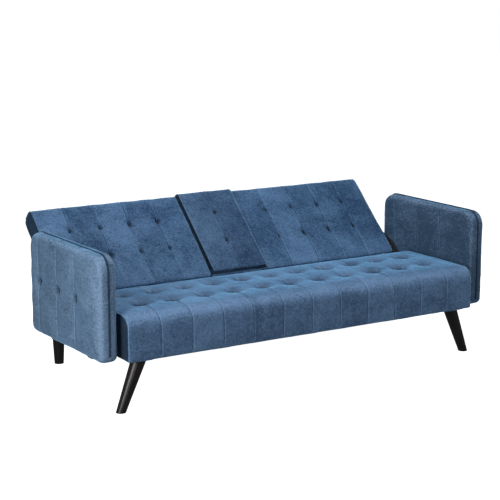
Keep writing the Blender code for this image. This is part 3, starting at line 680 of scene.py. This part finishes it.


# The same blue velvet as the seat, its colours darkened to paint the shade the back lies in.
back_velvet = velvet("back_velvet_cloth_painted_shade", (0.014, 0.040, 0.094, 1), (0.080, 0.160, 0.292, 1), 1.3)
# A lighter copy of the back velvet: painted highlight along the piping of the back and the console.
back_piping_velvet_highlighted = velvet("back_piping_cloth_painted_highlight", (0.030, 0.065, 0.125, 1), (0.140, 0.225, 0.345, 1))
for side, sign in SIDES:
    ends = sorted((sign * BACK_INNER, sign * BACK_OUTER))
    cushion = sleeve(f"back_cushion_{side}", BACK_BOX, BACK_RADII, ends, END_ROUNDING, BACK_VOXEL)
    seams = [sign * place for place in BACK_SEAMS]
    spots = spots_of(cushion.data)
    x, y, z = spots.T
    put_spots(cushion.data, rolled(spots, BACK_BOX, BACK_LIP))
    to_seam = np.min([np.abs(x - place) for place in seams], axis=0)
    to_tuft = np.min([np.hypot(x - a, y - b) for a in seams for b in BACK_TUFT_ROWS], axis=0)
    from_end = np.minimum(np.abs(x - ends[0]), np.abs(x - ends[1]))
    held = np.maximum.reduce([
        0.35 * near(to_seam, 0.008), near(to_tuft, 0.014) * (z > -0.03), 1.0 * (from_end < 0.004),
        1.0 * (z < -0.086), 1.0 * (y < 0.010), 0.4 * near(from_end, 0.018)])
    stuff(cushion, held, BACK_MOST * np.clip((z - BACK_BOX[2]) / 0.05, 0, 1) + LEAST_SWELL)
    smoothed(cushion)
    tufts = [((a, b, 0.01), *BACK_TUFT_SIZE) for a in seams for b in BACK_TUFT_ROWS]
    # The cushions' ends get painted shade (dark=0.8), and their faces get the painted light above.
    sewn(cushion, (0, seams, back_seams_show), tufts, (0, 0, 1), 0.0024, 0.0135, 11 + sign, sway=BACK_SWAY, dark=0.8,
         painted_light=back_painted_light)
    cloth = cloth_of(cushion)
    grown(f"back_stitches_{side}", stitch_tree,
          [seam_line(cloth, 0, place, BACK_BOX, BACK_RADII) for place in seams], thread, "back", "back_velvet",
          BACK_PLACE, Pitch=STITCH_PITCH, Stitch=STITCH_SIZE)
    lines = [laid_on(cloth, rolled([(end, *point) for point in over_the_top(BACK_BOX, BACK_RADII, 0.0014)],
                                   BACK_BOX, BACK_LIP)) for end in (ends[0] + 0.0022, ends[1] - 0.0022)]
    placed(cushion, back_velvet, "back", "back_velvet", f"back_upholstery_{side}", matrix=BACK_PLACE)
    grown(f"back_piping_{side}", piping_tree, lines, back_piping_velvet_highlighted, "back", "back_velvet", BACK_PLACE,
          Radius=PIPING_RADIUS, Spacing=PIPING_SPACING)

skirt = sleeve("bay_skirt", SKIRT_BOX, (0.005,) * 4, (-SKIRT_END, SKIRT_END), rounding=0.004, voxel=0.004)
smoothed(skirt)
skirt.data.shade_smooth()
placed(skirt, back_velvet, "back", "back_velvet", matrix=BACK_PLACE)


# ---- The sheets: velvet stapled over the rear of the back and inside the console's bay, and black lining
# stapled under the seat.
STAPLE_INSET, STAPLE_PITCH, STAPLE_SIZE = 0.007, 0.045, (0.0006, 0.0006, 0.0055)


def stretched(name, low, high, level, thickness, cell, ripple, material, body, slot, stands_for, matrix,
              under):
    """A sheet stretched flat between its staples, with a slight ripple, and its staples."""
    across, along = (max(2, round((high[axis] - low[axis]) / cell)) for axis in (0, 1))
    points = [(low[0] + (high[0] - low[0]) * i / across, low[1] + (high[1] - low[1]) * j / along, level)
              for j in range(along + 1) for i in range(across + 1)]
    row = across + 1
    faces = [(j * row + i, j * row + i + 1, (j + 1) * row + i + 1, (j + 1) * row + i)
             for j in range(along) for i in range(across)]
    made = object_of(name, points, faces)
    spots = spots_of(made.data)
    rim = np.minimum.reduce([spots[:, 0] - low[0], high[0] - spots[:, 0], spots[:, 1] - low[1],
                             high[1] - spots[:, 1]])
    spots[:, 2] += ripple * cloudy(spots * (1, 1, 0), 0.09, 21) * np.clip(rim / 0.03, 0, 1)
    put_spots(made.data, spots)
    wall = made.modifiers.new("thickness", "SOLIDIFY")
    wall.thickness, wall.offset = thickness, 0.0
    applied(made)
    made.data.shade_smooth()
    placed(made, material, body, slot, *stands_for, matrix=matrix)
    out = level + (-1 if under else 1) * (thickness / 2 + 0.0002)
    staples = []
    for a, b in (((low[0], low[1]), (high[0], low[1])), ((high[0], low[1]), (high[0], high[1])),
                 ((high[0], high[1]), (low[0], high[1])), ((low[0], high[1]), (low[0], low[1]))):
        a, b = Vector((*a, out)), Vector((*b, out))
        inward = (Vector(((low[0] + high[0]) / 2, (low[1] + high[1]) / 2, out)) - (a + b) / 2).normalized()
        run = (b - a).normalized() * STAPLE_INSET * 2
        staples.append([a + inward * STAPLE_INSET + run, b + inward * STAPLE_INSET - run])
    pins = grown(name + "_staples", stitch_tree, staples, staple_steel, body, slot, matrix,
                 Pitch=STAPLE_PITCH, Stitch=STAPLE_SIZE)


def staple_look(s):
    scratch = s.noise(s.place((40, 1, 1)), 60.0, 3.0)
    return s.blend(scratch, (0.40, 0.41, 0.43, 1), (0.62, 0.63, 0.65, 1)), scratch * 0.25 + 0.25, scratch, 0.2, 0.0002


def lining_look(s):
    """Thin black felted lining: pressed fibres, dotted all over where it was bonded."""
    fibres = s.noise(s.place((1, 1, 1)), 380.0, 4.0, 0.75, 2.0)
    dots = s.add("ShaderNodeTexVoronoi", {"Vector": s.place((1, 1, 0)), "Scale": 420.0, "Randomness": 0.12})
    mark = s.ramp(dots, (0.20, 0.0), (0.40, 1.0))
    colour = s.blend(fibres * 0.7 + mark * 0.3, (0.006, 0.006, 0.007, 1), (0.030, 0.030, 0.033, 1))
    return colour, 0.95 - fibres * 0.15, fibres * 0.6 + mark * 0.4, 0.5, 0.0005


staple_steel = finish("staple_steel", staple_look, Metallic=1.0)
lining = finish("black_lining", lining_look, Specular_IOR_Level=0.2)
stretched("rear_cover", (-0.831, 0.012), (0.831, 0.390), -0.0958, 0.0014, 0.018, 0.0009, back_velvet, "back",
          "back_velvet", ("back_rear_cover",), BACK_PLACE, True)
stretched("bay_cover", (-0.1395, 0.0065), (0.1395, 0.3875), -0.0870, 0.0012, 0.012, 0.0005, back_velvet, "back",
          "back_velvet", (), BACK_PLACE, False)
stretched("seat_lining", (-0.826, -0.4540), (0.826, 0.0940), 0.20338, 0.0004, 0.020, 0.0, lining, "base",
          "lining", ("dust_cover",), None, True)


# ---- The console: a padded cover of two strips round two side rails and a lid, on pivots in the back. Folded
# forward it lies on the seat, and its lid shows two cup holders.
CONSOLE_PLACE = BACK_PLACE @ Matrix.Translation((0, 0.056, 0))
CONSOLE_BOX = (-0.050, 0.362, -0.071, 0.021)
CONSOLE_RADII = (0.018, 0.004, 0.030, 0.010)
CONSOLE_END = 0.1360
CONSOLE_POCKET = ((-0.120, -0.020, -0.090), (0.120, 0.345, -0.001))
CONSOLE_LIP = 0.028
CONSOLE_MOST = 0.0065
CONSOLE_TUFT_ROWS = (0.080, 0.228)
CONSOLE_SWAY = (0.0050, 0.13)
CONSOLE_VOXEL = 0.0055
CUP_PLACES = ((-0.0597, 0.115), (0.0597, 0.115))
CUP_OPENING, CUP_STEPS = 0.0425, 48
LID_LOW, LID_HIGH, LID_BEVEL = -0.0704, -0.0614, 0.0016

# The same blue velvet again, darker still: painted shade on the console.
console_velvet = velvet("console_velvet_cloth_painted_shade", (0.010, 0.028, 0.070, 1), (0.062, 0.122, 0.224, 1), 1.3)
console = sleeve("console_cushion", CONSOLE_BOX, CONSOLE_RADII, (-CONSOLE_END, CONSOLE_END), rounding=0.007,
                 voxel=CONSOLE_VOXEL, pocket=CONSOLE_POCKET)
console_spots = spots_of(console.data)
x, y, z = console_spots.T
put_spots(console.data, rolled(console_spots, CONSOLE_BOX, CONSOLE_LIP))
to_tuft = np.min([np.hypot(x, y - row) for row in CONSOLE_TUFT_ROWS], axis=0)
inside = (np.abs(x) < 0.1235) & (y > -0.0235) & (y < 0.3485) & (z < 0.004)
held = np.maximum.reduce([0.30 * near(x, 0.008), near(to_tuft, 0.014) * (z > 0.0), 1.0 * inside,
                          1.0 * (np.abs(x) > CONSOLE_END - 0.004), 1.0 * (z < -0.060), 1.0 * (y < -0.046)])
stuff(console, held, CONSOLE_MOST * np.clip((z + 0.05) / 0.05, 0, 1) + LEAST_SWELL)
smoothed(console)


def console_seam_shows(at, way):
    """The middle seam shows on the face and over the top, but not inside the pocket."""
    face_or_top = np.clip(np.maximum(way[:, 2], way[:, 1]) * 2 - 0.4, 0, 1) * (at[:, 2] > -0.05)
    return face_or_top * np.clip((at[:, 2] + 0.012) / 0.01 + (np.abs(at[:, 1] - 0.15) > 0.2), 0, 1)


console_tufts = [((0.0, row, 0.02), *BACK_TUFT_SIZE) for row in CONSOLE_TUFT_ROWS]
# The console's side panels get painted shade (dark=0.9).
sewn(console, (0, (0.0,), console_seam_shows), console_tufts, (0, 0, 1), 0.0022, 0.0125, 17, sway=CONSOLE_SWAY,
     dark=0.9)
cloth = cloth_of(console)
grown("console_stitches", stitch_tree, [seam_line(cloth, 0, 0.0, CONSOLE_BOX, CONSOLE_RADII)], thread,
      "console", "console_velvet", CONSOLE_PLACE, Pitch=STITCH_PITCH, Stitch=STITCH_SIZE)
placed(console, console_velvet, "console", "console_velvet", "console_upholstery", matrix=CONSOLE_PLACE)
lines = [laid_on(cloth, rolled([(end, *point) for point in over_the_top(CONSOLE_BOX, CONSOLE_RADII, 0.0010)],
                               CONSOLE_BOX, CONSOLE_LIP)) for end in (CONSOLE_END - 0.0018, 0.0018 - CONSOLE_END)]
grown("console_piping", piping_tree, lines, back_piping_velvet_highlighted, "console", "console_velvet", CONSOLE_PLACE,
      Radius=0.0025, Spacing=PIPING_SPACING)

lid_curve = bpy.data.curves.new("console_lid_panel", "CURVE")
lid_curve.dimensions, lid_curve.fill_mode = "2D", "BOTH"
lid_curve.extrude, lid_curve.bevel_depth = (LID_HIGH - LID_LOW) / 2 - LID_BEVEL, LID_BEVEL
lid_curve.bevel_resolution = 3
edge = outline((-0.0225, 0.3475, -0.1195, 0.1195), (0.008,) * 4)
rounds = [[(b, a) for a, b in edge]]
turns = [math.tau * step / CUP_STEPS for step in range(CUP_STEPS)]
for middle in CUP_PLACES:
    rounds.append([(middle[0] + (CUP_OPENING + LID_BEVEL) * math.cos(turn),
                    middle[1] + (CUP_OPENING + LID_BEVEL) * math.sin(turn)) for turn in turns])
for ring in rounds:
    spline = lid_curve.splines.new("POLY")
    spline.points.add(len(ring) - 1)
    spline.use_cyclic_u = True
    for spot, (across, along) in zip(spline.points, ring):
        spot.co = (across, along, 0, 1)
lid_maker = bpy.data.objects.new("console_lid_maker", lid_curve)
scene.collection.objects.link(lid_maker)
lid_mesh = bpy.data.meshes.new_from_object(lid_maker.evaluated_get(bpy.context.evaluated_depsgraph_get()))
bpy.data.objects.remove(lid_maker)
lid_mesh.transform(Matrix.Translation((0, 0, (LID_HIGH + LID_LOW) / 2)))
lid = bpy.data.objects.new("console_lid_panel", lid_mesh)
scene.collection.objects.link(lid)
placed(lid, console_velvet, "console", "console_velvet", "console_lid", matrix=CONSOLE_PLACE)
lid_stitch = [Vector((b, a, LID_LOW - 0.0002)) for a, b in outline((-0.0165, 0.3415, -0.1135, 0.1135), (0.006,) * 4)]
grown("console_lid_stitches", stitch_tree, [lid_stitch + lid_stitch[:1]], thread, "console", "console_velvet",
      CONSOLE_PLACE, Pitch=STITCH_PITCH, Stitch=STITCH_SIZE)


# ---- The arms: a board in thick padding and a velvet sleeve of two shells, joined by piping round the middle,
# made of a darker copy of the velvet for painted shade. Each shell has three seams, tufted on the outside only.
ARM_SUNK = 0.003                         # how far the sleeve lies inside the arm's size before it is stuffed
ARM_BOX = (-0.4315 + ARM_SUNK, 0.2085 - ARM_SUNK, 0.2036, 0.6216 - ARM_SUNK)
ARM_RADII = (0.028, 0.028, 0.060, 0.060)
ARM_INNER, ARM_OUTER, ARM_MIDDLE = 0.8610, 0.9390, 0.9000
ARM_SEAMS = (-0.214, -0.054, 0.116)
ARM_TUFT_HEIGHT, ARM_TUFT_SIZE = 0.425, 0.023
ARM_MOST = (0.0040, 0.0120)              # the outside's most swelling at its rim, and how much more in its middle
ARM_ROUNDING = 0.023
ARM_VOXEL = 0.007
ARM_PIPING_RADIUS = 0.0036


def arm_seams_show(at, way):
    """Seams show on both sides and over the top."""
    side_or_top = np.clip(np.maximum(np.abs(way[:, 0]), way[:, 2]) * 2 - 0.5, 0, 1)
    return side_or_top * np.clip((at[:, 2] - 0.212) / 0.01, 0, 1)


# The same blue velvet, lighter and greyer: painted light on the arms.
arm_velvet = velvet("arm_velvet_cloth_painted_light", (0.028, 0.056, 0.100, 1), (0.140, 0.222, 0.340, 1))
# A darker copy of the arm velvet: painted shade along the piping's groove.
arm_piping_velvet_shaded = velvet("arm_piping_cloth_painted_shade", (0.006, 0.014, 0.034, 1), (0.020, 0.042, 0.085, 1))
for side, sign in SIDES:
    ends = sorted((sign * ARM_INNER, sign * ARM_OUTER))
    arm = sleeve(f"arm_cushion_{side}", ARM_BOX, ARM_RADII, ends, ARM_ROUNDING, ARM_VOXEL)
    x, y, z = spots_of(arm.data).T
    outer = sign * x > ARM_MIDDLE + 0.012
    to_seam = np.min([np.abs(y - place) for place in ARM_SEAMS], axis=0)
    to_tuft = np.min([np.hypot(y - place, z - ARM_TUFT_HEIGHT) for place in ARM_SEAMS], axis=0)
    held = np.maximum.reduce([
        0.5 * near(to_seam, 0.008), near(to_tuft, 0.016) * outer, 0.9 * near(np.abs(x) - ARM_MIDDLE, 0.006),
        1.0 * (z < ARM_BOX[2] + 0.004)])
    from_rim = np.minimum.reduce([y - ARM_BOX[0], ARM_BOX[1] - y, ARM_BOX[3] - z, z - ARM_BOX[2]])
    most = np.where(outer, ARM_MOST[0] + ARM_MOST[1] * np.clip(from_rim / 0.07, 0, 1),
                    np.where(sign * x < ARM_INNER + 0.006, 0.0030, 0.0040))
    stuff(arm, held, most * np.clip((z - ARM_BOX[2]) / 0.10, 0.02, 1))
    smoothed(arm)
    tufts = [((sign * ARM_OUTER, place, ARM_TUFT_HEIGHT), ARM_TUFT_SIZE, ARM_TUFT_SIZE) for place in ARM_SEAMS]
    # Painted light and shade by the way the cloth faces: the outer side lighter and the inner side darker, and the
    # front darker on the left arm and lighter on the right.
    sewn(arm, (1, ARM_SEAMS, arm_seams_show), tufts, (sign, 0, 0), 0.0026, 0.0150, 23 + sign, width=0.0036,
         painted_light=lambda at, way: sign * (0.75 * way[:, 0] + 0.6 * way[:, 1]))
    cloth = cloth_of(arm)
    grown(f"arm_stitches_{side}", stitch_tree,
          [seam_line(cloth, 1, place, (*ends, *ARM_BOX[2:]), (0.004, 0.004, ARM_ROUNDING, ARM_ROUNDING))
           for place in ARM_SEAMS],
          thread, "base", "arm_velvet", Pitch=STITCH_PITCH, Stitch=STITCH_SIZE)
    placed(arm, arm_velvet, "base", "arm_velvet", f"arm_upholstery_{side}")
    line = [(sign * ARM_MIDDLE, *point) for point in over_the_top(ARM_BOX, ARM_RADII, -0.0012)]
    grown(f"arm_piping_{side}", piping_tree, [line], arm_piping_velvet_shaded, "base", "arm_velvet",
          Radius=ARM_PIPING_RADIUS, Spacing=PIPING_SPACING)


# ---- The frame: pine rails, plywood boards and four wire springs, all inside the upholstery.
def wear(material, *nodes):
    for node in nodes:
        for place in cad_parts[node].material_slots:
            place.material = material


def pine_look(s):
    """Planed softwood: growth rings sliced along the rail, with fine pores."""
    rings = s.add("ShaderNodeTexWave", {"Vector": s.place((0.6, 7.0, 9.0)), "Scale": 5.0, "Distortion": 3.5,
                                        "Detail": 3.0, "Detail Scale": 0.6}, out=1)
    pores = s.noise(s.place((4.0, 60.0, 60.0)), 12.0, 3.0, 0.7)
    colour = s.blend(rings * 0.7 + pores * 0.3, (0.66, 0.46, 0.27, 1), (0.42, 0.25, 0.12, 1))
    return colour, pores * 0.2 + 0.55, pores, 0.3, 0.0004


def plywood_look(s):
    """Rotary-cut veneer: broad loose figure, and short dark pores along it."""
    figure = s.noise(s.place((1.0, 2.0, 7.0)), 7.0, 4.0, 0.6, 2.5)
    pores = s.noise(s.place((20.0, 20.0, 260.0)), 6.0, 2.0, 0.6)
    mark = s.ramp(pores, (0.60, 0.0), (0.70, 1.0))
    colour = s.blend(figure, (0.58, 0.42, 0.26, 1), (0.44, 0.29, 0.16, 1))
    return s.blend(mark * 0.6, colour, (0.20, 0.12, 0.06, 1)), figure * 0.2 + 0.55, pores, 0.3, 0.0004


def spring_look(s):
    stain = s.noise(s.place(), 60.0, 3.0)
    return s.blend(stain, (0.22, 0.23, 0.25, 1), (0.42, 0.43, 0.45, 1)), stain * 0.3 + 0.25, stain, 0.2, 0.0002


pine, plywood = finish("planed_pine", pine_look), finish("poplar_plywood", plywood_look)
spring_steel = finish("drawn_spring_steel", spring_look, Metallic=1.0)
wear(pine, "seat_front_rail", "seat_rear_rail", "seat_centre_rail")
wear(spring_steel, *(f"seat_spring_{number}" for number in range(1, 5)))
wear(back_velvet, "console_bay_board")
for side, sign in SIDES:
    wear(pine, f"seat_end_rail_{side}", f"console_rail_{side}", f"back_bottom_rail_{side}",
         f"back_top_rail_{side}", f"back_inner_stile_{side}", f"back_outer_stile_{side}")
    wear(plywood, f"arm_board_{side}")


# ---- The legs: turned and tapered hardwood, stained black and lacquered, each under a steel plate.
def black_wood_look(s):
    grain = s.noise(s.place((22.0, 22.0, 1.4)), 9.0, 4.0, 0.65, 0.8)
    pores = s.noise(s.place((260.0, 260.0, 9.0)), 3.0, 2.0, 0.6)
    rubbed = s.noise(s.place(), 14.0, 3.0)
    colour = s.blend((grain * 0.8 + rubbed * 0.3).held(), (0.0020, 0.0017, 0.0016, 1), (0.010, 0.0078, 0.0070, 1))
    return colour, 0.30 + rubbed * 0.16, pores * 0.5 + grain * 0.5, 0.25, 0.0005


black_wood = finish("black_stained_beech", black_wood_look, Specular_IOR_Level=0.28, Coat_Weight=0.14,
                    Coat_Roughness=0.25)
for side, sign in SIDES:
    wear(black_wood, f"leg_front_{side}", f"leg_rear_{side}")


# ---- The steel: powder-coated tubes, plates and hinges, and zinc-plated bolts and pins.
def black_steel_look(s):
    """Powder coat: a fine even orange peel, slightly glossier on its crests."""
    peel = s.noise(s.place(), 520.0, 2.0, 0.5)
    dust = s.noise(s.place(), 16.0, 4.0)
    colour = s.blend(dust, (0.010, 0.010, 0.011, 1), (0.026, 0.026, 0.028, 1))
    return colour, 0.36 + peel * 0.16, peel, 0.35, 0.0004


def zinc_look(s):
    spangle = s.add("ShaderNodeTexVoronoi", {"Vector": s.place(), "Scale": 260.0}, out=0)
    wear_marks = s.noise(s.place((1, 1, 8)), 90.0, 3.0)
    colour = s.blend(spangle * 0.5 + wear_marks * 0.5, (0.42, 0.43, 0.44, 1), (0.70, 0.71, 0.72, 1))
    return colour, 0.22 + wear_marks * 0.22, spangle, 0.15, 0.0002


black_steel = finish("powder_coated_steel", black_steel_look)
zinc_steel = finish("zinc_plated_steel", zinc_look, Metallic=1.0)
wear(black_steel, "rear_cross_tube")
for side, sign in SIDES:
    wear(black_steel, f"rear_support_{side}", f"leg_plate_front_{side}", f"leg_plate_rear_{side}",
         f"arm_bracket_front_{side}", f"arm_bracket_rear_{side}", f"hinge_seat_plate_{side}",
         f"hinge_back_plate_{side}", f"console_pivot_{side}")
    wear(zinc_steel, f"arm_bolt_front_{side}", f"arm_bolt_rear_{side}", f"hinge_pin_{side}")


# ---- The cup holders: two moulded cups with a rim, pressed into holes in the console's lid.
def black_plastic_look(s):
    """Moulded plastic with a fine spark-eroded grain."""
    grain = s.add("ShaderNodeTexVoronoi", {"Vector": s.place(), "Scale": 900.0}, out=0)
    haze = s.noise(s.place(), 30.0, 3.0)
    colour = s.blend(haze, (0.010, 0.010, 0.011, 1), (0.022, 0.022, 0.024, 1))
    return colour, 0.30 + haze * 0.15, grain, 0.25, 0.0003


wear(finish("moulded_black_plastic", black_plastic_look), "cup_holder_left", "cup_holder_right")
